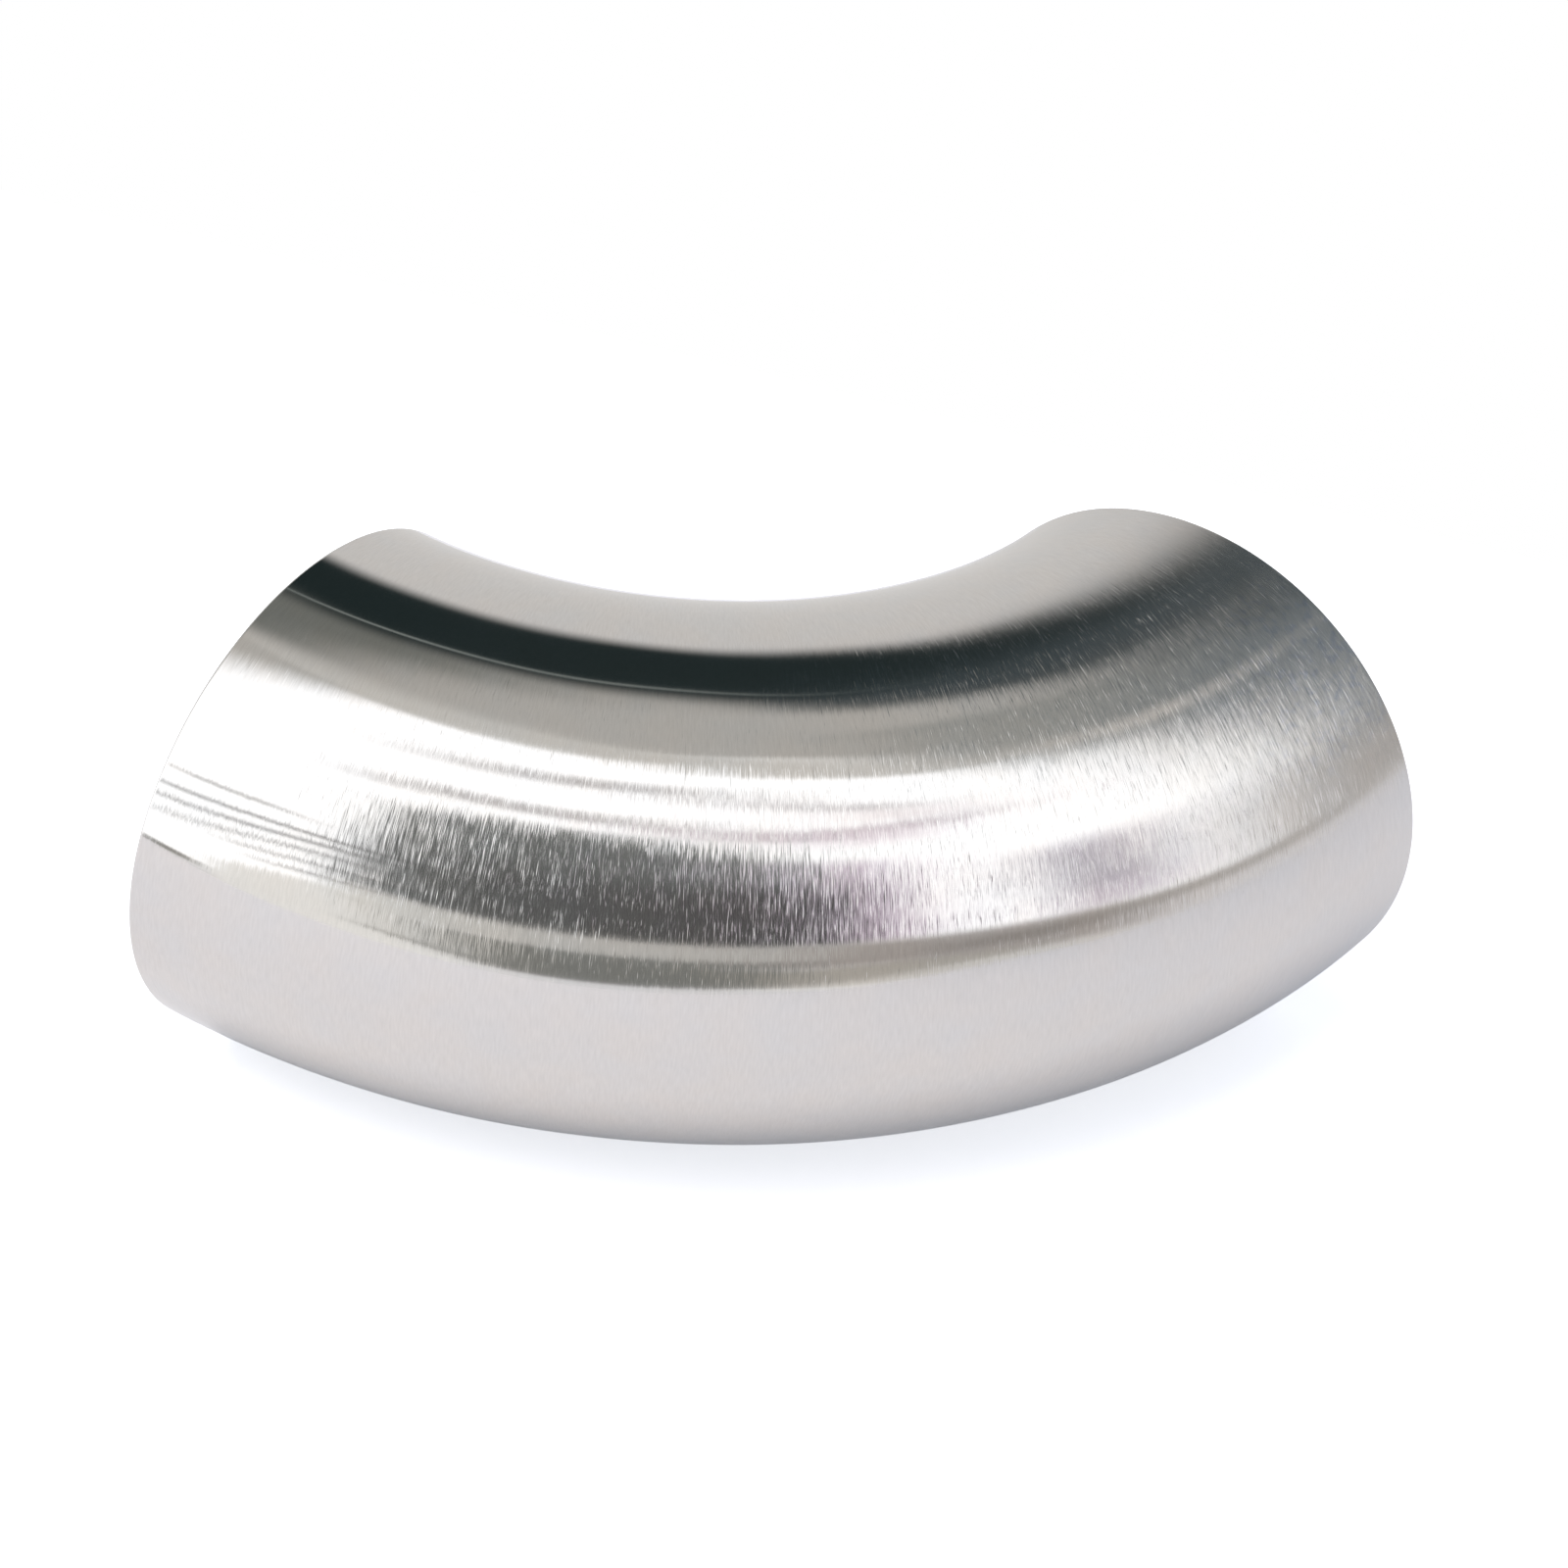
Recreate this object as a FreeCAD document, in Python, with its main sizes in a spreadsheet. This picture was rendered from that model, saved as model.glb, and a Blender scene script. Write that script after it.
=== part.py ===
"""Sanitary butt-weld elbow, 90 degrees, stainless steel, in millimetres.

One piece of thin-walled tube. It is bent with a straight lead at both ends, then both ends are
cut square to the port axes at the centre-to-face length. Where that length is less than the bend
radius, as here, the cuts pass just inside the bend; where it is more, straight ends are left.

The elbow lies on its side: the bend is in the XY plane and +Z is up. The origin is the centre of
weld end A, whose face looks along -X. The port axes cross one centre-to-face length along +X, and
weld end B, whose face looks along +Y, lies the same length from the crossing.
"""

import FreeCAD, Part

import math
import os

import Sketcher

PARTS_FOLDER = "parts"

# Driving dimensions: name, value, what it is
DIMENSIONS = (
    ("tube_od", "50.8", "outside diameter of the tube"),
    ("wall", "1.5", "wall thickness, the same all round"),
    ("bend_radius", "63.5", "bend centre to tube centreline"),
    ("centre_to_face", "60.5", "crossing of the port axes to the plane of each weld face"),
    ("edge_break", "0.25", "deburring chamfer on the four rims of the cut ends"),
)

# Worked out from the driving ones: name, formula, what it is
DERIVED = (
    ("outer_radius", "=tube_od / 2", "outside radius of the tube"),
    ("inner_radius", "=tube_od / 2 - wall", "bore radius"),
    ("lead", "=centre_to_face", "straight tube each side of the bend, before the cuts"),
    ("cut_width", "=1.2 * tube_od", "width of each end cut, more than the tube's"),
    ("cut_length", "=lead + bend_radius", "length of each end cut, more than it takes off"),
)

ORIGIN = FreeCAD.Vector(0, 0, 0)
UP = FreeCAD.Vector(0, 0, 1)

# The sketch's own origin point, as a constraint names it
ROOT = (-1, 1)


def make_sheet(doc):
    """Writes the dimensions into a spreadsheet, one alias to a row."""
    sheet = doc.addObject("Spreadsheet::Sheet", "dimensions")
    for row, (name, value, meaning) in enumerate(DIMENSIONS + DERIVED, start=1):
        sheet.set(f"A{row}", name)
        sheet.set(f"B{row}", value)
        sheet.setAlias(f"B{row}", name)
        sheet.set(f"C{row}", meaning)
    doc.recompute()
    return sheet


def add_sketch(body, name, plane_role):
    """An empty sketch on one of the body's origin planes."""
    sketch = body.newObject("Sketcher::SketchObject", name)
    plane = next(f for f in body.Origin.OriginFeatures if f.Role == plane_role)
    sketch.AttachmentSupport = [(plane, "")]
    sketch.MapMode = "FlatFace"
    return sketch


def tie(sketch, constraint, expression):
    """Adds a dimension to the sketch and ties it to the sheet."""
    index = sketch.addConstraint(constraint)
    sketch.setExpression(f"Constraints[{index}]", expression)


def tie_span(sketch, direction, start, end, value, expression):
    """Ties the distance from one point to another, along the sketch's x or y."""
    tie(sketch, Sketcher.Constraint(direction, *start, *end, value), expression)


def make_centreline(body, sheet):
    """The tube's centreline in plan: lead A, the bend and lead B, each tangent to the next."""
    sketch = add_sketch(body, "centreline", "XY_Plane")
    radius, lead, reach = sheet.bend_radius, sheet.lead, sheet.centre_to_face
    bend_start = FreeCAD.Vector(reach - radius, 0, 0)
    bend_end = FreeCAD.Vector(reach, radius, 0)
    circle = Part.Circle(bend_start + FreeCAD.Vector(0, radius, 0), UP, radius)

    lines = [
        Part.LineSegment(bend_start - FreeCAD.Vector(lead, 0, 0), bend_start),
        Part.ArcOfCircle(circle, -math.pi / 2, 0),
        Part.LineSegment(bend_end, bend_end + FreeCAD.Vector(0, lead, 0)),
    ]
    a, bend, b = sketch.addGeometry(lines, False)

    sketch.addConstraint(Sketcher.Constraint("PointOnObject", a, 1, -1))
    sketch.addConstraint(Sketcher.Constraint("Horizontal", a))
    sketch.addConstraint(Sketcher.Constraint("Tangent", a, 2, bend, 1))
    sketch.addConstraint(Sketcher.Constraint("Tangent", bend, 2, b, 1))
    sketch.addConstraint(Sketcher.Constraint("Vertical", b))
    tie(sketch, Sketcher.Constraint("Radius", bend, radius), "dimensions.bend_radius")
    tie_span(sketch, "DistanceX", ROOT, (b, 1), reach, "dimensions.centre_to_face")
    tie_span(sketch, "DistanceX", (a, 1), (a, 2), lead, "dimensions.lead")
    tie_span(sketch, "DistanceY", (b, 1), (b, 2), lead, "dimensions.lead")
    return sketch


def add_circle(sketch, radius, expression):
    """A circle about the sketch's origin whose radius follows the sheet."""
    index = sketch.addGeometry(Part.Circle(ORIGIN, UP, radius), False)
    sketch.addConstraint(Sketcher.Constraint("Coincident", index, 3, *ROOT))
    tie(sketch, Sketcher.Constraint("Radius", index, radius), expression)


def make_section(body, sheet):
    """The tube's section, square to the centreline at the start of lead A."""
    sketch = add_sketch(body, "tube_section", "YZ_Plane")
    sketch.setExpression(
        "AttachmentOffset.Base.z",
        "dimensions.centre_to_face - dimensions.bend_radius - dimensions.lead",
    )
    add_circle(sketch, sheet.outer_radius, "dimensions.outer_radius")
    add_circle(sketch, sheet.inner_radius, "dimensions.inner_radius")
    return sketch


def add_rectangle(sketch, low, high):
    """Four joined lines; returns the numbers of the one at low y and the one at high x."""
    corners = [low, FreeCAD.Vector(high.x, low.y, 0), high, FreeCAD.Vector(low.x, high.y, 0)]
    lines = [Part.LineSegment(p, q) for p, q in zip(corners, corners[1:] + corners[:1])]
    numbers = sketch.addGeometry(lines, False)
    for number, following in zip(numbers, numbers[1:] + numbers[:1]):
        sketch.addConstraint(Sketcher.Constraint("Coincident", number, 2, following, 1))
    for number, direction in zip(numbers, ("Horizontal", "Vertical") * 2):
        sketch.addConstraint(Sketcher.Constraint(direction, number))
    return numbers[0], numbers[1]


def make_end_cuts(body, sheet):
    """Both end cuts in plan: one side of each rectangle lies in the plane of a weld face."""
    sketch = add_sketch(body, "end_cuts", "XY_Plane")
    width, length, reach = sheet.cut_width, sheet.cut_length, sheet.centre_to_face

    low = FreeCAD.Vector(-length, -width / 2, 0)
    along, across = add_rectangle(sketch, low, low + FreeCAD.Vector(length, width, 0))
    sketch.addConstraint(Sketcher.Constraint("PointOnObject", along, 2, -2))
    tie_span(sketch, "DistanceY", (along, 2), ROOT, width / 2, "dimensions.cut_width / 2")
    tie_span(sketch, "DistanceX", (along, 1), (along, 2), length, "dimensions.cut_length")
    tie_span(sketch, "DistanceY", (across, 1), (across, 2), width, "dimensions.cut_width")

    low = FreeCAD.Vector(reach - width / 2, reach, 0)
    across, along = add_rectangle(sketch, low, low + FreeCAD.Vector(width, length, 0))
    tie_span(sketch, "DistanceY", ROOT, (across, 1), reach, "dimensions.centre_to_face")
    side = "dimensions.centre_to_face - dimensions.cut_width / 2"
    tie_span(sketch, "DistanceX", ROOT, (across, 1), low.x, side)
    tie_span(sketch, "DistanceX", (across, 1), (across, 2), width, "dimensions.cut_width")
    tie_span(sketch, "DistanceY", (along, 1), (along, 2), length, "dimensions.cut_length")
    return sketch


def rim_names(shape):
    """Names of the rims: every edge of a flat face, as only the weld faces are flat."""
    flat = [face for face in shape.Faces if isinstance(face.Surface, Part.Plane)]
    rims = [edge for face in flat for edge in face.Edges]
    return [
        f"Edge{number}"
        for number, edge in enumerate(shape.Edges, start=1)
        if any(edge.isSame(rim) for rim in rims)
    ]


def make_elbow(doc, sheet):
    """The bent tube as one solid, its ends cut square and its rims deburred."""
    body = doc.addObject("PartDesign::Body", "elbow")
    body.Label = "elbow"
    centreline = make_centreline(body, sheet)
    section = make_section(body, sheet)
    doc.recompute()

    tube = body.newObject("PartDesign::AdditivePipe", "bent_tube")
    tube.Profile = section
    tube.Spine = (centreline, ["Edge1", "Edge2", "Edge3"])
    doc.recompute()

    square = body.newObject("PartDesign::Pocket", "square_ends")
    square.Profile = make_end_cuts(body, sheet)
    square.Type = "ThroughAll"
    square.SideType = "Symmetric"
    doc.recompute()

    rims = body.newObject("PartDesign::Chamfer", "deburred_rims")
    rims.Base = (square, rim_names(square.Shape))
    rims.setExpression("Size", "dimensions.edge_break")
    doc.recompute()
    return body


def check_document(doc):
    """Stops if any object failed to build or any sketch is left loose."""
    for thing in doc.Objects:
        if "Invalid" in thing.State or "Error" in thing.State:
            raise RuntimeError(f"{thing.Name} did not build: {thing.State}")
        if thing.isDerivedFrom("Sketcher::SketchObject") and not thing.FullyConstrained:
            raise RuntimeError(f"{thing.Name} is not fully constrained")


def check_elbow(body, sheet):
    """Stops unless the elbow is one valid solid of the cut tube's own volume."""
    shape = body.Shape
    if shape.isNull() or not shape.isValid() or len(shape.Solids) != 1:
        raise RuntimeError("the elbow is not one valid solid")
    ends_length = 2 * (sheet.centre_to_face - sheet.bend_radius)
    length = sheet.bend_radius * math.pi / 2 + ends_length
    tube_volume = math.pi * (sheet.outer_radius**2 - sheet.inner_radius**2) * length
    if abs(shape.Volume / tube_volume - 1) > 0.01:
        raise RuntimeError(f"volume {shape.Volume:.1f} is not the tube's {tube_volume:.1f}")
    print(f"elbow: volume {shape.Volume:.1f} mm3, bare tube {tube_volume:.1f} mm3")


def main():
    doc = FreeCAD.newDocument("weld_elbow")
    sheet = make_sheet(doc)
    elbow = make_elbow(doc, sheet)
    check_document(doc)
    check_elbow(elbow, sheet)
    os.makedirs(PARTS_FOLDER, exist_ok=True)
    elbow.Shape.exportStep(os.path.join(PARTS_FOLDER, f"{elbow.Label}.step"))


main()
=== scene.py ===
"""Dresses the packed sanitary weld elbow: a brushed stainless tube bend on a pale studio floor.

It is laid out as a Blender add-on and run as a script. One operator builds the elbow as a closed
surface over the packed node, one builds the studio: floor, surroundings, lamp and camera.
"""

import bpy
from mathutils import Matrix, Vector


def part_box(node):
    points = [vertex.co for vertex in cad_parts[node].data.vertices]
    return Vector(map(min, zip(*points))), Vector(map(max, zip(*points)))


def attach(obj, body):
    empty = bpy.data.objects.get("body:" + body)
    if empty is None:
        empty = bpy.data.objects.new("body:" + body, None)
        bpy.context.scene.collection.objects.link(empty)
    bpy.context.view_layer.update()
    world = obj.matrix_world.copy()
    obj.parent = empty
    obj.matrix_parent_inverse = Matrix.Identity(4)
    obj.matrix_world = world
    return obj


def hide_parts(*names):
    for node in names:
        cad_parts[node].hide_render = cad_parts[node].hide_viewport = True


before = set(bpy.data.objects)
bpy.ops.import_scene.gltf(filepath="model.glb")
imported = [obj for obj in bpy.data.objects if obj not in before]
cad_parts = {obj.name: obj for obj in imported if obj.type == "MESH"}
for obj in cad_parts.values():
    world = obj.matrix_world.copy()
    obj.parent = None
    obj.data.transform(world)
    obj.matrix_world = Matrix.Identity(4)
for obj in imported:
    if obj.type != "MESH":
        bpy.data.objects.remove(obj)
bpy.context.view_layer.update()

import math

import bpy
import numpy as np
from mathutils import Matrix, Vector

bl_info = {
    "name": "Sanitary weld elbow",
    "version": (1, 0, 0),
    "blender": (4, 5, 0),
    "location": "3D View > Sidebar > Weld elbow",
    "description": "Builds a brushed stainless weld elbow and the studio it lies in",
    "category": "Object",
}

NODE = "elbow"
MM = 0.001
LOW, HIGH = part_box(NODE)

# Names that the mesh and its materials share
TUBE_UV = "round_the_wall"
STRAIGHT = "straight_tube"


def linear(code):
    """The linear colour of an sRGB hex code."""
    channels = [int(code[i : i + 2], 16) / 255 for i in (0, 2, 4)]
    return tuple(c / 12.92 if c <= 0.04045 else ((c + 0.055) / 1.055) ** 2.4 for c in channels)


def length_property(name, description, millimetres):
    """A length that a user can change, shown in the scene's units."""
    return bpy.props.FloatProperty(
        name=name, description=description, default=millimetres * MM, unit="LENGTH", precision=5
    )


def angle_property(name, description, degrees):
    """An angle that a user can change."""
    return bpy.props.FloatProperty(
        name=name, description=description, default=math.radians(degrees), subtype="ANGLE"
    )


def colour_property(name, description, code):
    """A colour that a user can change, given as an sRGB hex code."""
    return bpy.props.FloatVectorProperty(
        name=name, description=description, default=linear(code), subtype="COLOR"
    )


class ElbowSizes(bpy.types.PropertyGroup):
    """Sizes of the bent tube; the outside ones are the packed model's own."""

    tube_radius: length_property(
        "Tube radius", "Outside radius of the tube", (HIGH.z - LOW.z) / 2 / MM
    )
    wall: length_property("Wall", "Wall thickness", 1.5)
    bend_radius: length_property("Bend radius", "Bend centre to tube centreline", 63.5)
    centre_to_face: length_property(
        "Centre to face", "Crossing of the port axes to each weld face", HIGH.y / MM
    )
    rim_round: length_property("Rim rounding", "Radius left on the deburred rims", 0.22)
    waviness: length_property("Waviness", "Height of the formed wall's strongest wave", 0.006)


class SteelFinish(bpy.types.PropertyGroup):
    """Colours and surface of the stainless steel."""

    colour: colour_property("Colour", "Colour that the steel gives to what it reflects", "D1CDC9")
    cool_colour: colour_property("Cool colour", "Colour in the polish's cooler clouds", "CFCDCB")
    tint_colour: colour_property("Tint", "Colour of the specks of heat tint", "AEB4C6")
    bore_colour: colour_property("Bore", "Colour of the pickled bore", "C9C7C3")
    face_colour: colour_property("Weld faces", "Colour of the faced ends", "D6D4D1")
    roughness: bpy.props.FloatProperty(
        name="Roughness",
        description="Blur of the brushed outside, before its marks",
        default=0.055,
        subtype="FACTOR",
    )
    # A fine belt's marks are some 0.02 mm wide; drawn a little wider so that they show
    mark_width: length_property("Mark width", "Width of one brush mark, along the bend", 0.034)
    mark_length: length_property("Mark length", "Length of one brush mark, round the tube", 1.45)
    mark_slope: bpy.props.FloatProperty(
        name="Mark slope", description="How steep the sides of the common marks are", default=0.41
    )
    scratch_slope: bpy.props.FloatProperty(
        name="Scratch slope", description="How steep the few deepest marks are", default=850.0
    )


class StudioSettings(bpy.types.PropertyGroup):
    """Floor, light and camera."""

    floor_colour: colour_property("Floor", "Colour of the floor", "F1F3F6")
    floor_width: length_property("Floor width", "Floor from side to side", 520)
    floor_depth: length_property("Floor depth", "Floor from front to back", 280)
    floor_forward: length_property("Floor forward", "Middle of the floor before the elbow's", 30)
    floor_turn: angle_property("Floor turn", "Turn of the floor about the vertical", 20)

    soft_colour: colour_property("Soft light", "Colour of the light from all round", "ECF1FF")
    soft_strength: bpy.props.FloatProperty(
        name="Soft strength", description="Strength of the light from all round", default=0.57
    )
    surround_colour: colour_property("Surround", "What the steel mirrors between cards", "CDCCC8")

    lamp_colour: colour_property("Lamp colour", "Colour of the key lamp", "FFF5EC")
    lamp_power: bpy.props.FloatProperty(
        name="Lamp power", description="Power of the key lamp, in watts", default=3.05
    )
    lamp_size: length_property("Lamp size", "Side of the key lamp's square", 500)
    lamp_distance: length_property("Lamp distance", "Key lamp to the elbow's middle", 620)
    lamp_azimuth: angle_property("Lamp azimuth", "Where the lamp hangs, as the camera's", -18)
    lamp_elevation: angle_property("Lamp elevation", "Height of the lamp over the horizon", 68)

    azimuth: angle_property("Azimuth", "Where the camera stands: 0 looks along +Y", 31.621)
    elevation: angle_property("Elevation", "Height of the camera above the horizon", 39.747)
    roll: angle_property("Roll", "Turn of the camera about its own line of sight", 6.578)
    distance: length_property("Distance", "Camera to the point it looks at", 649.48)
    aim: bpy.props.FloatVectorProperty(
        name="Aim",
        description="Point that the camera looks at",
        subtype="XYZ",
        default=(0.019664, 0.053929, -0.024089),
    )
    lens: bpy.props.FloatProperty(
        name="Lens", description="Focal length on a 36 mm sensor, in millimetres", default=148.06
    )


# --- node helpers


def add_node(tree, kind, inputs=None, **settings):
    """Adds a node, sets what settings name, and fills its inputs or links them.

    A socket is linked as it is, and a node by its first output.
    """
    made = tree.nodes.new(kind)
    for name, value in settings.items():
        setattr(made, name, value)
    for key, value in (inputs or {}).items():
        if isinstance(value, bpy.types.Node):
            value = value.outputs[0]
        if isinstance(value, bpy.types.NodeSocket):
            tree.links.new(value, made.inputs[key])
        else:
            made.inputs[key].default_value = value
    return made


def new_material(name):
    """An empty node material; returns the material and its tree."""
    material = bpy.data.materials.new(name)
    material.use_nodes = True
    material.node_tree.nodes.clear()
    return material, material.node_tree


def per_metre(size):
    """How often a pattern of that size in mm comes in a metre, as a noise's scale asks."""
    return 1 / (size * MM)


# --- the elbow's surface

# Which finish a strip of the surface has
OUTSIDE, RIM, BORE = 0, 1, 2

# Divisions of the closed surface: along the outside, along the bore, round the tube, over a rim
ALONG_OUTSIDE, ALONG_BORE, ROUND, OVER_RIM = 204, 84, 288, 5

# Loops that hold the shading beside a rim, in roundings of the rim: how far below the rounding's
# end along the wall, and how far from the wall's own radius on the weld face
LOOP_ON_WALL, LOOP_ON_FACE = 0.3, 1.2

# Slow waves that rolling and bending leave in the wall: count round the tube, length along the
# bend in mm, phase, share of the waviness
WAVES = (
    (3, 41.0, 0.4, 1.0),
    (5, -29.0, 2.1, 0.9),
    (7, 23.0, 4.0, 0.8),
    (8, -37.0, 5.2, 0.8),
    (11, 19.0, 1.1, 0.5),
    (12, -26.0, 3.3, 0.45),
)


def wall_outline(sizes):
    """The wall's closed outline in a plane along the tube, from end A over the outside to end B
    and back along the bore.

    Returns four arrays: share of the way from face A to face B, depth below the nearer face,
    distance from the tube's centreline, and which finish the strip after each point has. A rim is
    a quarter circle of radius c: depth c(1 - sin t), and c(1 - cos t) off the wall's radius.
    """
    c, outer = sizes.rim_round, sizes.tube_radius
    inner = outer - sizes.wall
    quarter = np.linspace(0, math.pi / 2, OVER_RIM + 1)
    depth, inset = c * (1 - np.sin(quarter)), c * (1 - np.cos(quarter))
    ends = np.array([0, LOOP_ON_WALL * c / (sizes.bend_radius * math.pi / 2)])
    face = np.array([outer - c * LOOP_ON_FACE, inner + c * LOOP_ON_FACE])

    outside = np.r_[ends, np.linspace(0, 1, ALONG_OUTSIDE + 1)[1:-1], 1 - ends[::-1]]
    bore = np.r_[ends, np.linspace(0, 1, ALONG_BORE + 1)[1:-1], 1 - ends[::-1]][::-1]
    rim_out = (depth[1:], outer - inset[1:])
    rim_in = (depth[::-1][:-1], (inner + inset)[::-1][:-1])

    def strip(share, below, radius, finish):
        """One stretch of the outline, where a single value goes for all its points."""
        count = max(np.size(share), np.size(below), np.size(radius))
        return [np.broadcast_to(x, count).astype(float) for x in (share, below, radius, finish)]

    end_b = [
        strip(1, *rim_out, RIM),
        strip(1, 0, face, RIM),
        strip(1, *rim_in, RIM),
    ]
    end_a = [
        strip(0, rim_in[0][::-1], rim_in[1][::-1], RIM),
        strip(0, 0, face[::-1], RIM),
        strip(0, rim_out[0][::-1], rim_out[1][::-1], RIM),
    ]
    whole = [strip(outside, c, outer, OUTSIDE), *end_b, strip(bore, c, inner, BORE), *end_a]
    return [np.concatenate(part) for part in zip(*whole)]


def waves(along, angle, height):
    """Sum of cosines of (count x angle round the tube + 2 pi x length along / wave length)."""
    total = sum(
        share * np.cos(count * angle + 2 * math.pi * along / (length * MM) + phase)
        for count, length, phase, share in WAVES
    )
    return height * total


def elbow_surface(sizes):
    """The whole elbow as one closed grid: the wall's outline carried round the tube.

    At angle v round the tube and distance p from its centreline, a point lies R + p cos v from
    the bend axis and p sin v above the bend's plane. A weld face cuts that circle about the bend
    axis where sin(turn) = (R - reach + depth) / (R + p cos v); a point between the faces has its
    share of the turn that is left. Returns the points, the place each had on the straight tube,
    lengths over the wall's outline and back to its start, lengths round the tube, and the
    outline's finishes.
    """
    share, depth, radius, finish = wall_outline(sizes)
    # A full turn that starts underneath, so that the map's seam is out of sight
    angle = np.linspace(-math.pi / 2, 1.5 * math.pi, ROUND + 1)
    bend, reach = sizes.bend_radius, sizes.centre_to_face
    v, p = angle[None, :], radius[:, None]

    def swept(p):
        """Distance from the bend axis, and turn about it, at distance p from the centreline."""
        out = bend + p * np.cos(v)
        cut = np.arcsin((bend - reach + depth[:, None]) / out)
        return out, cut + share[:, None] * (math.pi / 2 - 2 * cut)

    _, turn = swept(p)
    p = p + waves(bend * turn, v, sizes.waviness)
    out, turn = swept(p)

    points = np.stack(
        [reach - bend + out * np.sin(turn), bend - out * np.cos(turn), p * np.sin(v)], -1
    )
    straight = np.stack([bend * turn, p * np.cos(v), p * np.sin(v)], -1)
    middle = points[:, ROUND // 2]
    steps = np.linalg.norm(np.diff(middle, axis=0, append=middle[:1]), axis=1)
    over = np.r_[0, np.cumsum(steps)]
    return points, straight, over, angle * sizes.tube_radius, finish.astype(int)


def grid_mesh(name, points, straight, over, around, finish):
    """A mesh from a grid that closes on itself both ways, with its map and straight places.

    The points' last column repeats the first, so only the map's corners use it.
    """
    rows, columns = points.shape[0], points.shape[1] - 1
    i, j = np.meshgrid(np.arange(rows), np.arange(columns), indexing="ij")
    i2, j2 = (i + 1) % rows, (j + 1) % columns
    quads = np.stack([i * columns + j, i2 * columns + j, i2 * columns + j2, i * columns + j2], -1)

    mesh = bpy.data.meshes.new(name)
    mesh.vertices.add(rows * columns)
    mesh.loops.add(quads.size)
    mesh.polygons.add(rows * columns)
    mesh.vertices.foreach_set("co", points[:, :-1].astype(np.float32).ravel())
    mesh.loops.foreach_set("vertex_index", quads.astype(np.int32).ravel())
    mesh.polygons.foreach_set("loop_start", np.arange(0, quads.size, 4, dtype=np.int32))
    mesh.polygons.foreach_set("material_index", np.repeat(finish, columns).astype(np.int32))
    mesh.update(calc_edges=True)
    mesh.validate()
    mesh.shade_smooth()

    map_u = np.stack([over[i], over[i + 1], over[i + 1], over[i]], -1)
    map_v = np.stack([around[j], around[j], around[j + 1], around[j + 1]], -1)
    uv = mesh.uv_layers.new(name=TUBE_UV)
    uv.data.foreach_set("uv", np.stack([map_u, map_v], -1).astype(np.float32).ravel())
    place = mesh.attributes.new(STRAIGHT, "FLOAT_VECTOR", "POINT")
    place.data.foreach_set("vector", straight[:, :-1].astype(np.float32).ravel())
    return mesh


# --- the finishes

# Sizes of the patterns, in mm
CLOUD = 5  # clouds of the polish
WANDER, WANDER_SHIFT = 7, 0.2  # length over which brush marks wander, and how far
SPECK = 0.9  # specks of heat tint
STAIN = 9  # stains that the pickling bath leaves
FEED, FEED_DEPTH = 0.12, 0.01  # the lathe's tool feed a turn, and the depth of its rings

# Patterns too fine to show in the render, drawn coarser, in mm
GRAIN_WIDTH, GRAIN_LENGTH = 0.14, 1.4  # the belt's finest grain, in truth some 0.01 wide
ETCHING, ETCHING_DEPTH = 0.25, 0.02  # etched grain, in truth some 0.03 across

# How much the belt's finest grain changes the colour, from darkest to lightest: partly real grain,
# partly painted shade that stands for the micro-shadows in its grooves
GRAIN_PAINTED_SHADE = 0.14

# Passes of the belt: shift of its noise round the tube in mm, and the width and length of its
# marks against the settings
BELT_PASSES = ((0, 1.0, 1.0), (70, 1.2, 1.8))

# Shares of a treatment over the outside: axis of the straight tube, from and to in mm along it,
# and the shares there. Several are multiplied. X runs along the bend from end A to end B, Y away
# from the bend's centre, Z up
PRESSED = (
    ("Y", 9, 17, 0.08, 1),
    ("X", 15, 31, 0.22, 1),
    ("X", 40, 56, 1, 0.22),
    ("Z", 6, 10.5, 0.25, 1),
)
SCRATCHED = (
    ("Y", 4, 13, 0, 1),
    ("X", 9, 28, 0.05, 0.5),
    ("X", 50, 66, 1, 1.25),
    ("X", 84, 95, 1, 0.5),
    ("Z", 6, 10.5, 0.2, 1),
)
SCRATCHED_B = (
    ("X", 38, 66, 0, 0.6),
    ("X", 84, 95, 1, 0.5),
    ("Y", -3, 5, 0, 1),
    ("Z", 4, 12, 0.2, 1),
)
RUBBED = (("X", 8, 24, 0, 1),)
WORN = (("X", 50, 97, 0, 1),)
TINTED = (
    ("X", 80, 93, 0, 1),
    ("Y", 2, 8, 0, 1),
    ("Z", 11, 18, 0, 1),
)


def share_of(tree, axes, limits):
    """The product of smooth steps along the straight tube's axes."""
    share = 1.0
    for axis, start, end, low, high in limits:
        step = add_node(
            tree,
            "ShaderNodeMapRange",
            {
                "Value": axes.outputs[axis],
                "From Min": start * MM,
                "From Max": end * MM,
                "To Min": low,
                "To Max": high,
            },
            interpolation_type="SMOOTHSTEP",
        )
        share = add_node(tree, "ShaderNodeMath", {0: step, 1: share}, operation="MULTIPLY")
    return share


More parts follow.
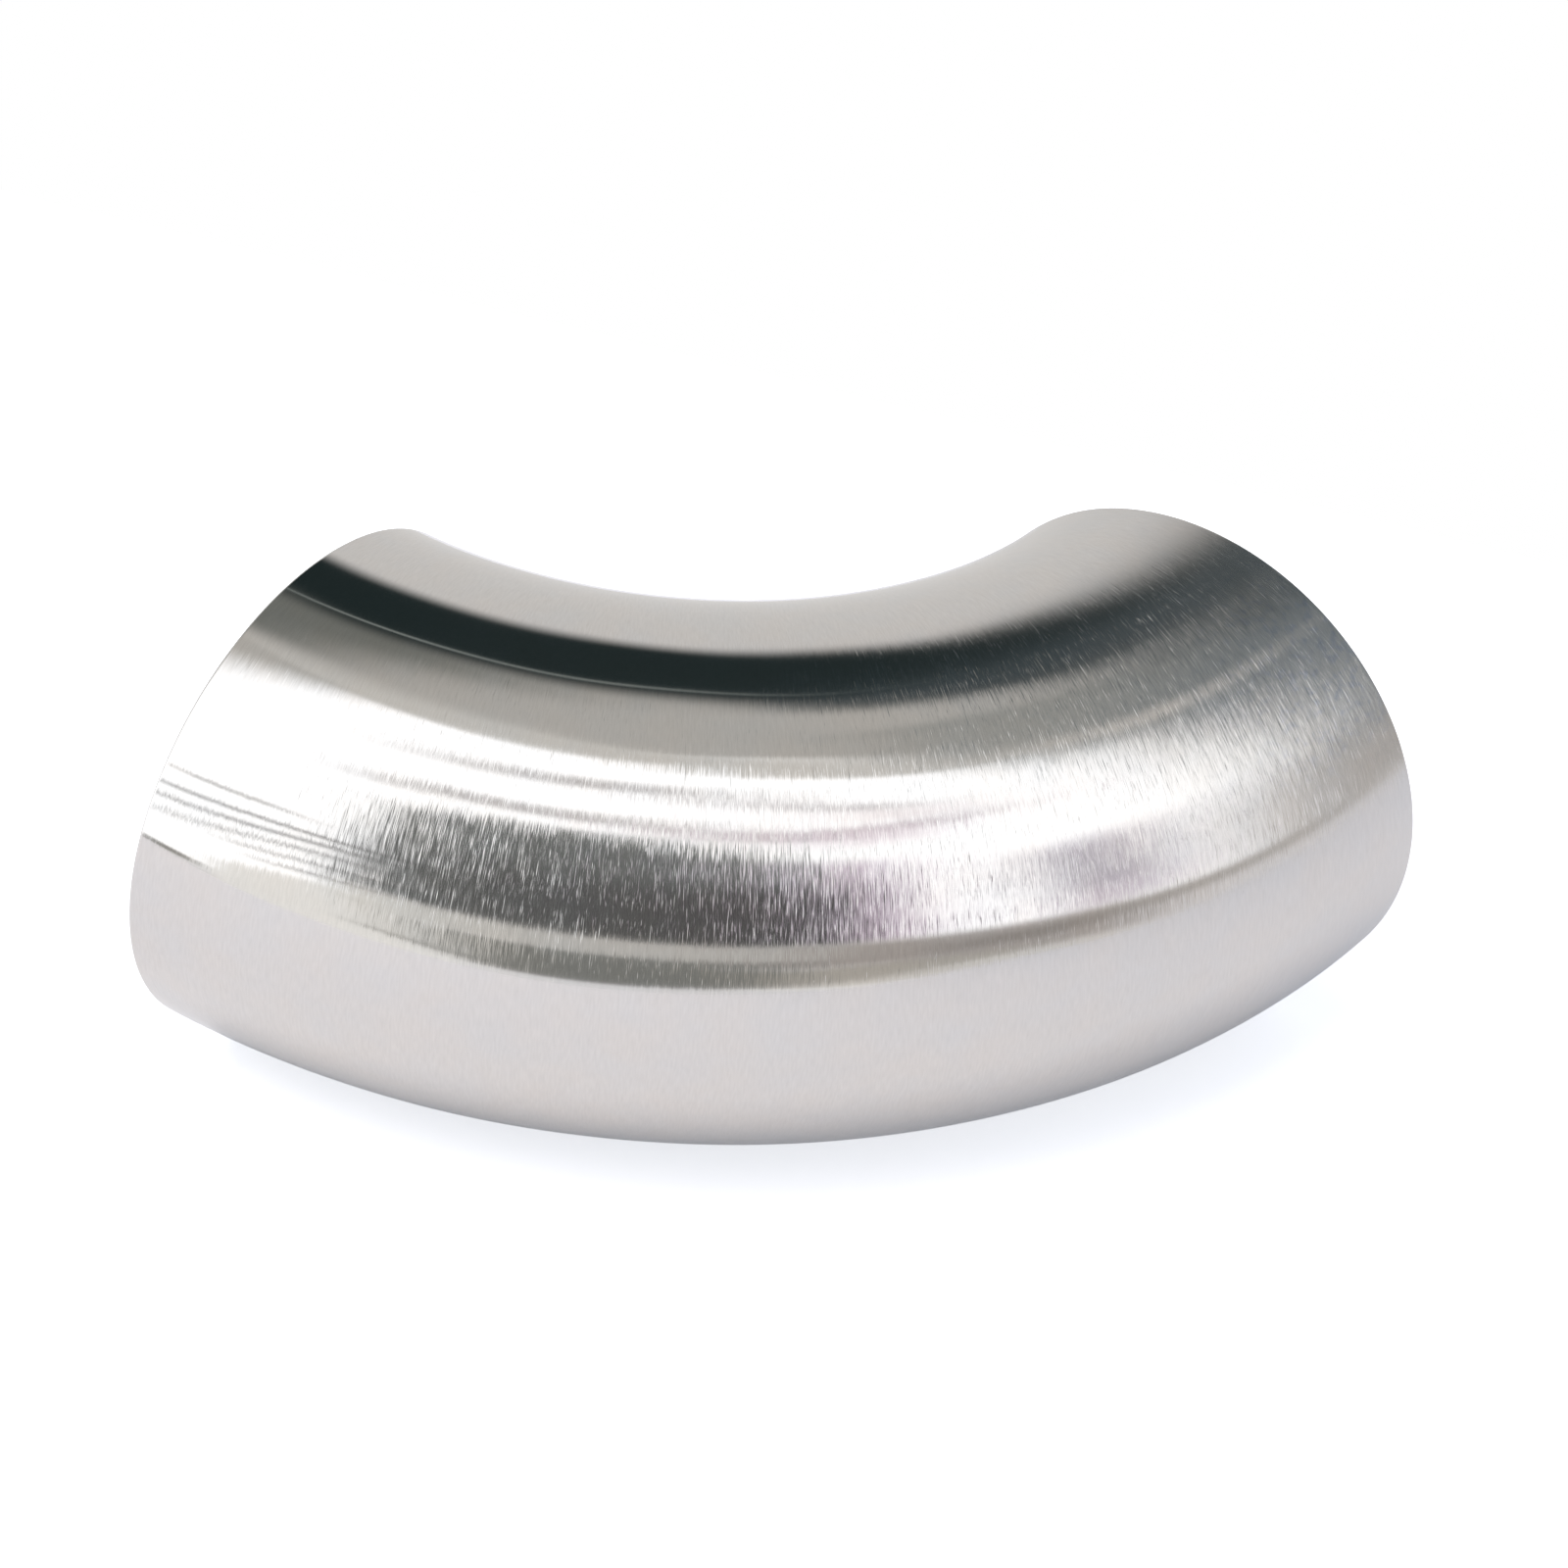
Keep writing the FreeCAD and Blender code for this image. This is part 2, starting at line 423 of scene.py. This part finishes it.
def belt_slope(tree, place, finish, pressed, scratched):
    """The slope along the bend that the belt's marks give the surface.

    Two passes cross at a few degrees, because each wanders its own way. Where a pass's noise is x
    off its middle, its slope is x (shallow + deep x^4): most marks are shallow, and a few are
    deep scratches.
    """
    shallow = add_node(
        tree, "ShaderNodeMath", {0: pressed, 1: finish.mark_slope}, operation="MULTIPLY"
    )
    deep = add_node(
        tree, "ShaderNodeMath", {0: scratched, 1: finish.scratch_slope}, operation="MULTIPLY"
    )
    slopes = []
    for shift, wide, long in BELT_PASSES:
        moved = add_node(tree, "ShaderNodeVectorMath", {0: place, 1: (0, shift * MM, 0)})
        drift = add_node(
            tree,
            "ShaderNodeTexNoise",
            {"Vector": moved, "Scale": per_metre(WANDER), "Detail": 0.0},
        )
        wandering = add_node(
            tree,
            "ShaderNodeVectorMath",
            {0: drift.outputs["Color"], 1: (WANDER_SHIFT * MM, 0, 0), 2: moved},
            operation="MULTIPLY_ADD",
        )
        width, length = wide * finish.mark_width, long * finish.mark_length
        marks = add_node(
            tree,
            "ShaderNodeMapping",
            {"Vector": wandering, "Scale": (1 / width, 1 / length, 1 / length)},
        )
        marks = add_node(
            tree, "ShaderNodeTexNoise", {"Vector": marks, "Scale": 1.0, "Detail": 1.0}
        )
        x = add_node(tree, "ShaderNodeMath", {0: marks, 1: 0.5}, operation="SUBTRACT")
        fourth = add_node(tree, "ShaderNodeMath", {0: x, 1: 4.0}, operation="POWER")
        steep = add_node(
            tree, "ShaderNodeMath", {0: fourth, 1: deep, 2: shallow}, operation="MULTIPLY_ADD"
        )
        slopes.append(add_node(tree, "ShaderNodeMath", {0: x, 1: steep}, operation="MULTIPLY"))
    return add_node(tree, "ShaderNodeMath", dict(enumerate(slopes)), operation="ADD")


def belt_colour(tree, place, finish, cloud, tinted):
    """The brushed steel's colour: cloudy, with faint blue specks of heat tint and a fine grain
    whose darker streaks are partly painted shade of the grooves' micro-shadows.
    """
    specks = add_node(
        tree, "ShaderNodeTexNoise", {"Vector": place, "Scale": per_metre(SPECK), "Detail": 2.0}
    )
    # Only the noise's peaks are specks, and a speck has at most 0.4 of the tint
    specks = add_node(
        tree,
        "ShaderNodeMapRange",
        {"Value": specks, "From Min": 0.5, "From Max": 0.72, "To Max": 0.4},
    )
    tinted = add_node(tree, "ShaderNodeMath", {0: specks, 1: tinted}, operation="MULTIPLY")
    mottle = add_node(
        tree, "ShaderNodeMapRange", {"Value": cloud, "From Min": 0.35, "From Max": 0.7}
    )
    colour = (*finish.colour, 1)
    for share, other in ((mottle, finish.cool_colour), (tinted, finish.tint_colour)):
        colour = add_node(
            tree,
            "ShaderNodeMix",
            {"Factor": share, "A": colour, "B": (*other, 1)},
            data_type="RGBA",
        ).outputs["Result"]

    # Fine grain along the belt's marks that darkens and lightens the colour: partly real grain,
    # partly painted shade of the micro-shadows in the grooves
    wide, long = per_metre(GRAIN_WIDTH), per_metre(GRAIN_LENGTH)
    grain = add_node(tree, "ShaderNodeMapping", {"Vector": place, "Scale": (wide, long, long)})
    grain = add_node(tree, "ShaderNodeTexNoise", {"Vector": grain, "Scale": 1.0, "Detail": 1.0})
    shade = add_node(
        tree,
        "ShaderNodeMath",
        {0: grain, 1: GRAIN_PAINTED_SHADE, 2: 1 - GRAIN_PAINTED_SHADE / 2},
        operation="MULTIPLY_ADD",
    )
    return add_node(
        tree, "ShaderNodeVectorMath", {"Vector": colour, "Scale": shade}, operation="SCALE"
    )


def brushed_stainless(finish):
    """Austenitic stainless steel, satin-brushed round the tube with a fine abrasive belt.

    To the eye: reflections stay crisp round the tube and smear along the bend, and the marks
    show as bright hairs wherever a dark reflection lies next to a light one.
    """
    material, tree = new_material("brushed_stainless")
    place = add_node(tree, "ShaderNodeAttribute", attribute_name=STRAIGHT).outputs["Vector"]
    axes = add_node(tree, "ShaderNodeSeparateXYZ", {0: place})
    cloud = add_node(
        tree, "ShaderNodeTexNoise", {"Vector": place, "Scale": per_metre(CLOUD), "Detail": 3.0}
    )
    pressed, rubbed, worn, tinted = (
        share_of(tree, axes, limits) for limits in (PRESSED, RUBBED, WORN, TINTED)
    )
    scratched = {0: share_of(tree, axes, SCRATCHED), 1: share_of(tree, axes, SCRATCHED_B)}
    scratched = add_node(tree, "ShaderNodeMath", scratched, operation="MAXIMUM")
    scratched = add_node(tree, "ShaderNodeMath", {0: scratched, 1: cloud}, operation="MULTIPLY")

    # A normal map keeps a slope from -1 to 1 as a colour from 0 to 1, so 0.5 is level
    slope = belt_slope(tree, place, finish, pressed, scratched)
    tilt = add_node(tree, "ShaderNodeMath", {0: slope, 1: 0.5, 2: 0.5}, operation="MULTIPLY_ADD")
    leaning = add_node(tree, "ShaderNodeCombineColor", {"Red": tilt, "Green": 0.5, "Blue": 1.0})
    normal = add_node(tree, "ShaderNodeNormalMap", {"Color": leaning}, uv_map=TUBE_UV)
    tangent = add_node(tree, "ShaderNodeTangent", direction_type="UV_MAP", uv_map=TUBE_UV)

    # Cloudy polish, duller away from weld end A and more so towards end B
    roughness = finish.roughness
    for share, rise in ((rubbed, 0.035), (worn, 0.08), (cloud, 0.03), (pressed, 0.03)):
        roughness = add_node(
            tree, "ShaderNodeMath", {0: share, 1: rise, 2: roughness}, operation="MULTIPLY_ADD"
        )
    shader = add_node(
        tree,
        "ShaderNodeBsdfPrincipled",
        {
            "Base Color": belt_colour(tree, place, finish, cloud, tinted),
            "Metallic": 1.0,
            "Roughness": roughness,
            "Anisotropic": 0.95,
            "Normal": normal,
            "Tangent": tangent,
        },
    )
    add_node(tree, "ShaderNodeOutputMaterial", {"Surface": shader})
    return material


def pickled_stainless(finish):
    """The same steel inside the bore, annealed and pickled.

    To the eye: an even, soft grey-white with a fine etched grain.
    """
    material, tree = new_material("pickled_stainless")
    place = add_node(tree, "ShaderNodeAttribute", attribute_name=STRAIGHT).outputs["Vector"]
    grain = add_node(
        tree, "ShaderNodeTexNoise", {"Vector": place, "Scale": per_metre(ETCHING), "Detail": 3.0}
    )
    stain = add_node(
        tree, "ShaderNodeTexNoise", {"Vector": place, "Scale": per_metre(STAIN), "Detail": 4.0}
    )
    roughness = add_node(
        tree, "ShaderNodeMapRange", {"Value": stain, "To Min": 0.26, "To Max": 0.46}
    )
    bump = add_node(
        tree,
        "ShaderNodeBump",
        {"Height": grain, "Strength": 0.35, "Distance": ETCHING_DEPTH * MM},
    )
    shader = add_node(
        tree,
        "ShaderNodeBsdfPrincipled",
        {
            "Base Color": (*finish.bore_colour, 1),
            "Metallic": 1.0,
            "Roughness": roughness,
            "Normal": bump,
        },
    )
    add_node(tree, "ShaderNodeOutputMaterial", {"Surface": shader})
    return material


def faced_stainless(finish):
    """The same steel on the weld faces and their rims, faced square in a lathe.

    To the eye: bright, with fine rings about the port's axis.
    """
    material, tree = new_material("faced_stainless")
    place = add_node(tree, "ShaderNodeAttribute", attribute_name=STRAIGHT).outputs["Vector"]
    across = add_node(
        tree, "ShaderNodeVectorMath", {0: place, 1: (0, 1, 1)}, operation="MULTIPLY"
    )
    radius = add_node(tree, "ShaderNodeVectorMath", {0: across}, operation="LENGTH")
    turns = add_node(
        tree,
        "ShaderNodeMath",
        {0: radius.outputs["Value"], 1: per_metre(FEED)},
        operation="MULTIPLY",
    )
    rings = add_node(
        tree,
        "ShaderNodeTexNoise",
        {"W": turns, "Scale": 1.0, "Detail": 1.0},
        noise_dimensions="1D",
    )
    roughness = add_node(
        tree, "ShaderNodeMapRange", {"Value": rings, "To Min": 0.18, "To Max": 0.42}
    )
    bump = add_node(
        tree, "ShaderNodeBump", {"Height": rings, "Strength": 0.4, "Distance": FEED_DEPTH * MM}
    )
    shader = add_node(
        tree,
        "ShaderNodeBsdfPrincipled",
        {
            "Base Color": (*finish.face_colour, 1),
            "Metallic": 1.0,
            "Roughness": roughness,
            "Normal": bump,
        },
    )
    add_node(tree, "ShaderNodeOutputMaterial", {"Surface": shader})
    return material


class WELD_ELBOW_OT_elbow(bpy.types.Operator):
    """Build the elbow's closed surface and give each side its finish"""

    bl_idname = "weld_elbow.elbow"
    bl_label = "Brushed elbow"

    def execute(self, context):
        scene = context.scene
        mesh = grid_mesh("brushed_elbow", *elbow_surface(scene.elbow_sizes))
        # In the order of OUTSIDE, RIM and BORE
        for finish in (brushed_stainless, faced_stainless, pickled_stainless):
            mesh.materials.append(finish(scene.steel_finish))
        elbow = bpy.data.objects.new("brushed_elbow", mesh)
        scene.collection.objects.link(elbow)
        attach(elbow, "root")
        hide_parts(NODE)
        return {"FINISHED"}


# --- the studio

# Soft cards that the steel reflects, later ones over earlier ones. Azimuth 0 is towards -Y and 90
# towards +X. Name, azimuth, elevation, half width, half height, edge blur across and up, all in
# degrees, then tilt and bow, by which the middle line rises tilt x + bow x^2 thousandths of a
# degree at x degrees to the side, sRGB colour and strength
CARDS = (
    ("sweep", 215, 4, 65, 35, 8, 2, 0, 0, "E9E8E7", 1.0),
    ("window", 31, 37.5, 89.5, 49, 13, 2.5, 0, 0, "FAFCFF", 1.85),
    ("paper", 30, -41, 100, 32, 20, 1, 0, 0, "F8F9FD", 1.05),
    ("low side", 135, 5, 25, 14, 11, 9, 0, 0, "C5C3C0", 1.0),
    ("dim side", 163, 33, 35, 26, 9, 6, 0, 0, "757F85", 1.0),
    ("high side", 142, 66, 28, 8, 6, 5, 0, 0, "ABADAA", 1.0),
    ("left wall", -114, 50, 24, 18, 10, 6, 0, 0, "80837F", 1.0),
    ("side lamp", 136, 54.5, 8, 3, 5, 3, -500, 0, "E6E2DC", 1.0),
    ("dark room", 210, 48.6, 25, 14.9, 9, 4.2, -100, -5, "263132", 1.0),
    ("dark side", 183, 41.5, 19, 17, 6, 6, 400, 0, "434E53", 1.0),
    ("lamp in it", 221, 57.7, 13, 0.5, 7, 0.35, -270, -15, "98A09E", 1.0),
    ("ceiling", 20, 113, 100, 28, 15, 1.5, 0, -2.1, "E7E6E2", 1.0),
    ("upper bar", 22, 73.7, 38, 2.1, 13, 1.0, 28, -4.7, "FDFBFC", 0.7),
    ("upper bar's end", 66, 66, 19, 2.1, 7, 1.0, -350, 0, "FBF5FA", 0.7),
    ("lower bar", 15, 58.4, 26, 2.1, 9, 0.9, 83, -7.7, "FDFBFC", 0.72),
    ("bars' join", 80, 58.3, 9, 2.6, 6, 2, -250, 0, "FDF6FB", 1.28),
    ("lower bar's end", 64, 54.2, 24, 2.1, 8, 0.9, -40, 0, "FDF2FB", 0.8),
    ("pink wash", 68, 52, 9, 3.5, 8, 3, 0, 0, "FCF0FC", 1.2),
    ("tinted flag", 62, 26, 4, 17, 5, 3, 0, 0, "D6B8DC", 1.0),
    ("dark flag", 27, 30.8, 28, 22.5, 4, 1.2, 0, -12, "767A79", 1.0),
    ("dark flag's foot", 34, 19, 24, 14, 7, 7, 0, 0, "676868", 1.0),
    ("violet foot", 49, 21, 9, 14, 6, 6, 0, 0, "505050", 1.0),
    ("small flag", 91, 18, 6, 14, 4, 4, 0, 0, "BBA9C2", 1.0),
    ("small flag's core", 90, 21, 4.3, 9, 3, 4, 0, 0, "938A9C", 1.0),
    ("near table", 0, -4.3, 16, 9, 1.5, 1.0, 173, -22, "FCFCFA", 1.2),
    ("near table's end", -21.5, -8.3, 4, 0.9, 1.5, 0.5, 0, 0, "A0A09C", 1.0),
    ("far floor", 110, -7.5, 35, 6, 5, 1, -165, 0, "FCFAFC", 1.0),
    ("far rail", 112, -3.0, 30, 2.0, 8, 1.5, -150, 3, "CBC8C4", 1.0),
    ("far rail's end", 130, -1, 12, 5, 8, 4, 0, 0, "BDBAB7", 1.0),
    ("table's foot", 68, -7.3, 20, 1.8, 5, 1, 0, 0, "F0EEEA", 1.0),
    ("low rail", 66, -2.5, 22, 3.6, 5, 1.4, 100, 0, "C6C3BC", 1.0),
    ("near rail", 70, 3.5, 24, 4.8, 6, 2.0, -150, -5, "BDB8B5", 1.0),
    ("rail's core", 79, 1.6, 9, 2.0, 5, 1.6, -100, 0, "A29D99", 1.0),
    ("rail's end", 9, 5.6, 9, 3.8, 5, 1.2, 60, 0, "F4F4F0", 1.0),
    ("rail", 34, 5.8, 19, 3.7, 4, 0.6, 70, 0, "D8D8D5", 1.0),
    ("table's end", 13, -3.4, 8, 5.0, 6, 0.7, -120, 0, "E4E4E0", 1.0),
    ("table", 32.5, -3.9, 17, 6.2, 3.5, 0.7, 60, 3, "8A8C89", 1.0),
    ("table's edge", 11, -8.1, 8, 0.5, 3, 0.5, -150, 0, "9C9C97", 1.0),
    ("slat 1", -18, 24.0, 8, 0.6, 3, 0.5, 400, 0, "D2D2D2", 1.0),
    ("slat 2", -12.5, 20.0, 15, 0.6, 4, 0.4, 387, -4.8, "AAAAAA", 1.0),
    ("slat 3", -13, 15.8, 14, 0.65, 4, 0.4, 480, -4, "989898", 1.0),
    ("slat 4", -13.5, 11.0, 13, 0.6, 4, 0.4, 580, -7, "A2A2A2", 1.0),
    ("slat 5", -4, 11.0, 11, 0.5, 4, 0.4, 420, -6, "B2B2B2", 1.0),
    ("slat 6", -2, 7.3, 9, 0.5, 3, 0.4, 300, -15, "B2B2B2", 1.0),
)
THOUSANDTH = 0.001

# What a card mask is given, in the order of a card's own numbers
CARD_INPUTS = (
    "Azimuth",
    "Elevation",
    "At azimuth",
    "At elevation",
    "Half width",
    "Half height",
    "Blur across",
    "Blur up",
    "Tilt",
    "Bow",
)

# What the floor adds to its own light, as a share of its colour, by the kind of ray that sees it
FLOOR_LIFT = (("Camera", 0.68), ("Glossy", 0.13), ("Transmission", 0.13))

# The floor lies this far under the elbow, in mm
FLOOR_GAP = 0.05

# Nearest and farthest that the camera sees, in metres
CLIP_NEAR, CLIP_FAR = 0.01, 10


def card_mask():
    """Node group: 1 inside a soft-edged rectangle of directions and 0 outside.

    The offset in azimuth is wrapped to half a turn either way. The card's middle line rises by
    tilt times that offset and bows by its square, both in thousandths.
    """
    group = bpy.data.node_groups.new("card_mask", "ShaderNodeTree")
    for name in CARD_INPUTS:
        group.interface.new_socket(name, in_out="INPUT", socket_type="NodeSocketFloat")
    group.interface.new_socket("Mask", in_out="OUTPUT", socket_type="NodeSocketFloat")
    given = group.nodes.new("NodeGroupInput").outputs

    offset = {0: given["Azimuth"], 1: given["At azimuth"]}
    across = add_node(group, "ShaderNodeMath", offset, operation="SUBTRACT")
    across = add_node(
        group, "ShaderNodeMath", {0: across, 1: 180.0, 2: -180.0}, operation="WRAP"
    )
    slope = add_node(
        group,
        "ShaderNodeMath",
        {0: across, 1: given["Bow"], 2: given["Tilt"]},
        operation="MULTIPLY_ADD",
    )
    rise = add_node(group, "ShaderNodeMath", {0: slope, 1: across}, operation="MULTIPLY")
    middle = add_node(
        group,
        "ShaderNodeMath",
        {0: rise, 1: THOUSANDTH, 2: given["At elevation"]},
        operation="MULTIPLY_ADD",
    )
    up = add_node(
        group, "ShaderNodeMath", {0: given["Elevation"], 1: middle}, operation="SUBTRACT"
    )

    sides = []
    for offset, half, blur in (
        (across, given["Half width"], given["Blur across"]),
        (up, given["Half height"], given["Blur up"]),
    ):
        size = add_node(group, "ShaderNodeMath", {0: offset}, operation="ABSOLUTE")
        far = add_node(group, "ShaderNodeMath", {0: half, 1: blur}, operation="ADD")
        near = add_node(group, "ShaderNodeMath", {0: half, 1: blur}, operation="SUBTRACT")
        side = add_node(
            group,
            "ShaderNodeMapRange",
            {"Value": size, "From Min": far, "From Max": near},
            interpolation_type="SMOOTHSTEP",
        )
        sides.append(side)
    mask = add_node(group, "ShaderNodeMath", dict(enumerate(sides)), operation="MULTIPLY")
    add_node(group, "NodeGroupOutput", {"Mask": mask})
    return group


def studio_world(studio):
    """White to the camera, plain soft light to the floor, and the cards to the steel."""
    world = bpy.data.worlds.new("soft_studio")
    world.use_nodes = True
    tree = world.node_tree
    tree.nodes.clear()
    toward = add_node(tree, "ShaderNodeTexCoord").outputs["Generated"]
    axes = add_node(tree, "ShaderNodeSeparateXYZ", {0: toward})
    front = add_node(tree, "ShaderNodeMath", {0: axes.outputs["Y"], 1: -1.0}, operation="MULTIPLY")
    azimuth = add_node(
        tree, "ShaderNodeMath", {0: axes.outputs["X"], 1: front}, operation="ARCTAN2"
    )
    elevation = add_node(tree, "ShaderNodeMath", {0: axes.outputs["Z"]}, operation="ARCSINE")
    degrees = [
        add_node(tree, "ShaderNodeMath", {0: angle}, operation="DEGREES")
        for angle in (azimuth, elevation)
    ]

    group = card_mask()
    seen = (*studio.surround_colour, 1)
    for name, *numbers, colour, strength in CARDS:
        given = dict(enumerate((*degrees, *numbers)))
        mask = add_node(tree, "ShaderNodeGroup", given, node_tree=group, label=name)
        light = tuple(strength * c for c in linear(colour))
        seen = add_node(
            tree,
            "ShaderNodeMix",
            {"Factor": mask, "A": seen, "B": (*light, 1)},
            data_type="RGBA",
        ).outputs["Result"]

    steel = add_node(tree, "ShaderNodeBackground", {"Color": seen})
    plain = add_node(
        tree,
        "ShaderNodeBackground",
        {"Color": (*studio.soft_colour, 1), "Strength": studio.soft_strength},
    )
    white = add_node(tree, "ShaderNodeBackground", {"Color": (1, 1, 1, 1)})
    path = add_node(tree, "ShaderNodeLightPath").outputs
    soft = add_node(tree, "ShaderNodeMixShader", {0: path["Is Glossy Ray"], 1: plain, 2: steel})
    shown = add_node(tree, "ShaderNodeMixShader", {0: path["Is Camera Ray"], 1: soft, 2: white})
    add_node(tree, "ShaderNodeOutputWorld", {"Surface": shown})
    return world


def floor_paper(studio):
    """Matt white paper, lifted a little so that it stays white and still takes a shadow."""
    material, tree = new_material("floor_paper")
    path = add_node(tree, "ShaderNodeLightPath").outputs
    lift = 0.0
    for ray, share in FLOOR_LIFT:
        lift = add_node(
            tree,
            "ShaderNodeMath",
            {0: path[f"Is {ray} Ray"], 1: share, 2: lift},
            operation="MULTIPLY_ADD",
        )
    shader = add_node(
        tree,
        "ShaderNodeBsdfPrincipled",
        {
            "Base Color": (*studio.floor_colour, 1),
            "Roughness": 1.0,
            "Specular IOR Level": 0.0,
            "Emission Color": (*studio.floor_colour, 1),
            "Emission Strength": lift,
        },
    )
    add_node(tree, "ShaderNodeOutputMaterial", {"Surface": shader})
    return material


def floor_mesh(studio):
    """A sheet of paper under the middle of the elbow, just clear of it and turned a little."""
    middle = (LOW + HIGH) / 2
    middle.z = LOW.z - FLOOR_GAP * MM
    half = Vector((studio.floor_width / 2, studio.floor_depth / 2, 0))
    turn = Matrix.Rotation(studio.floor_turn, 3, "Z")
    signs = ((-1, -1), (1, -1), (1, 1), (-1, 1))
    ahead = studio.floor_forward
    corners = [middle + turn @ Vector((x * half.x, y * half.y - ahead, 0)) for x, y in signs]
    mesh = bpy.data.meshes.new("floor")
    mesh.from_pydata(corners, [], [(0, 1, 2, 3)])
    return mesh


def direction(azimuth, elevation):
    """The unit vector at an azimuth, 0 towards -Y and a quarter turn towards +X, and elevation."""
    level = math.cos(elevation)
    return Vector((math.sin(azimuth) * level, -math.cos(azimuth) * level, math.sin(elevation)))


def studio_camera(studio):
    """A camera at its distance from the aim, turned about its line of sight by the roll."""
    back = direction(studio.azimuth, studio.elevation)
    level = Vector((math.cos(studio.azimuth), math.sin(studio.azimuth), 0))
    right = math.cos(studio.roll) * level + math.sin(studio.roll) * back.cross(level)
    turn = Matrix((right, back.cross(right), back)).transposed()
    data = bpy.data.cameras.new("camera")
    data.lens = studio.lens
    data.clip_start, data.clip_end = CLIP_NEAR, CLIP_FAR
    camera = bpy.data.objects.new("camera", data)
    place = Vector(studio.aim) + back * studio.distance
    camera.matrix_world = Matrix.Translation(place) @ turn.to_4x4()
    return camera


def key_lamp(studio):
    """A soft square lamp high above, a little to the left. The steel mirrors the cards instead."""
    toward = direction(studio.lamp_azimuth, studio.lamp_elevation)
    data = bpy.data.lights.new("key_lamp", "AREA")
    data.size = studio.lamp_size
    data.energy = studio.lamp_power
    data.color = studio.lamp_colour
    lamp = bpy.data.objects.new("key_lamp", data)
    lamp.location = (LOW + HIGH) / 2 + toward * studio.lamp_distance
    lamp.rotation_euler = toward.to_track_quat("Z", "Y").to_euler()
    lamp.visible_glossy = False
    return lamp


class WELD_ELBOW_OT_studio(bpy.types.Operator):
    """Lay the floor, light it softly and set up the camera"""

    bl_idname = "weld_elbow.studio"
    bl_label = "Studio"

    def execute(self, context):
        scene, studio = context.scene, context.scene.studio_settings
        mesh = floor_mesh(studio)
        mesh.materials.append(floor_paper(studio))
        floor = bpy.data.objects.new("floor", mesh)
        scene.collection.objects.link(floor)
        scene.world = studio_world(studio)
        scene.collection.objects.link(key_lamp(studio))
        camera = studio_camera(studio)
        scene.collection.objects.link(camera)
        scene.camera = camera
        scene.view_settings.view_transform = "Standard"
        return {"FINISHED"}


class VIEW3D_PT_weld_elbow(bpy.types.Panel):
    """Settings and build steps of the weld elbow"""

    bl_label = "Weld elbow"
    bl_idname = "VIEW3D_PT_weld_elbow"
    bl_space_type = "VIEW_3D"
    bl_region_type = "UI"
    bl_category = "Weld elbow"

    def draw(self, context):
        for name, group in SETTINGS.items():
            box = self.layout.box()
            box.label(text=group.__doc__.split(";")[0])
            for key in group.__annotations__:
                box.prop(getattr(context.scene, name), key)
        for step in STEPS:
            self.layout.operator(step.bl_idname)


SETTINGS = {
    "elbow_sizes": ElbowSizes,
    "steel_finish": SteelFinish,
    "studio_settings": StudioSettings,
}
STEPS = (WELD_ELBOW_OT_elbow, WELD_ELBOW_OT_studio)
CLASSES = (*SETTINGS.values(), *STEPS, VIEW3D_PT_weld_elbow)


def register():
    """Adds the classes, and one group of each kind of settings to the scene."""
    for one in CLASSES:
        bpy.utils.register_class(one)
    for name, group in SETTINGS.items():
        setattr(bpy.types.Scene, name, bpy.props.PointerProperty(type=group))


def unregister():
    """Takes away what register added, in the opposite order."""
    for name in SETTINGS:
        delattr(bpy.types.Scene, name)
    for one in reversed(CLASSES):
        bpy.utils.unregister_class(one)


def main():
    register()
    bpy.ops.weld_elbow.elbow()
    bpy.ops.weld_elbow.studio()


if __name__ == "__main__":
    main()
